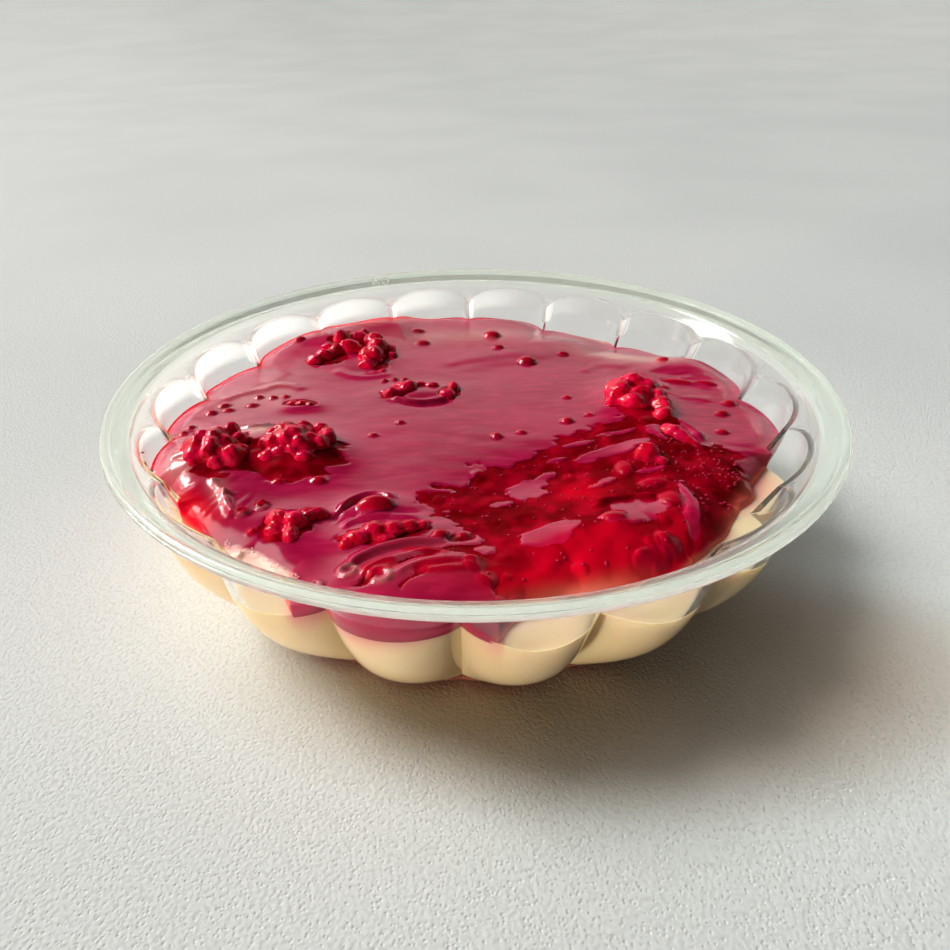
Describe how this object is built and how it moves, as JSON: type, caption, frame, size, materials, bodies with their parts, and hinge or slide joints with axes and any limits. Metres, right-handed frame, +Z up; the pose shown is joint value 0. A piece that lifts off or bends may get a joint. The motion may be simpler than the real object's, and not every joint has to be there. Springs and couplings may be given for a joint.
{
  "type": "mini cheesecake",
  "caption": "Single-portion round cheesecake: biscuit base, cream cheese filling and raspberry topping with whole and broken berries, set in a clear fluted dish with a flat rim.",
  "frame": {"origin": "middle of the foot's underside, on the table", "axes": "+Z up out of the dish, -Y towards the side that is shown from the front, +X to its right"},
  "size_m": [0.13, 0.13, 0.0324],
  "materials": {
    "clear_dish": "clear, faintly green, glossy",
    "biscuit": "crumbly pressed biscuit, dark with juice",
    "filling": "smooth, soft sheen",
    "sauce": "wet, glossy, translucent",
    "fruit": "wet, glossy"
  },
  "bodies": {
    "root": {"dish": "clear_dish", "biscuit_base": "biscuit", "cheese_filling": "filling", "raspberry_topping": "sauce", "raspberry_1": "fruit", "raspberry_2": "fruit", "raspberry_3": "fruit", "raspberry_4": "fruit", "berry_piece_1": "fruit", "berry_piece_2": "fruit", "berry_piece_3": "fruit", "berry_piece_4": "fruit", "berry_piece_5": "fruit", "berry_piece_6": "fruit", "berry_piece_7": "fruit"}
  },
  "joints": []
}
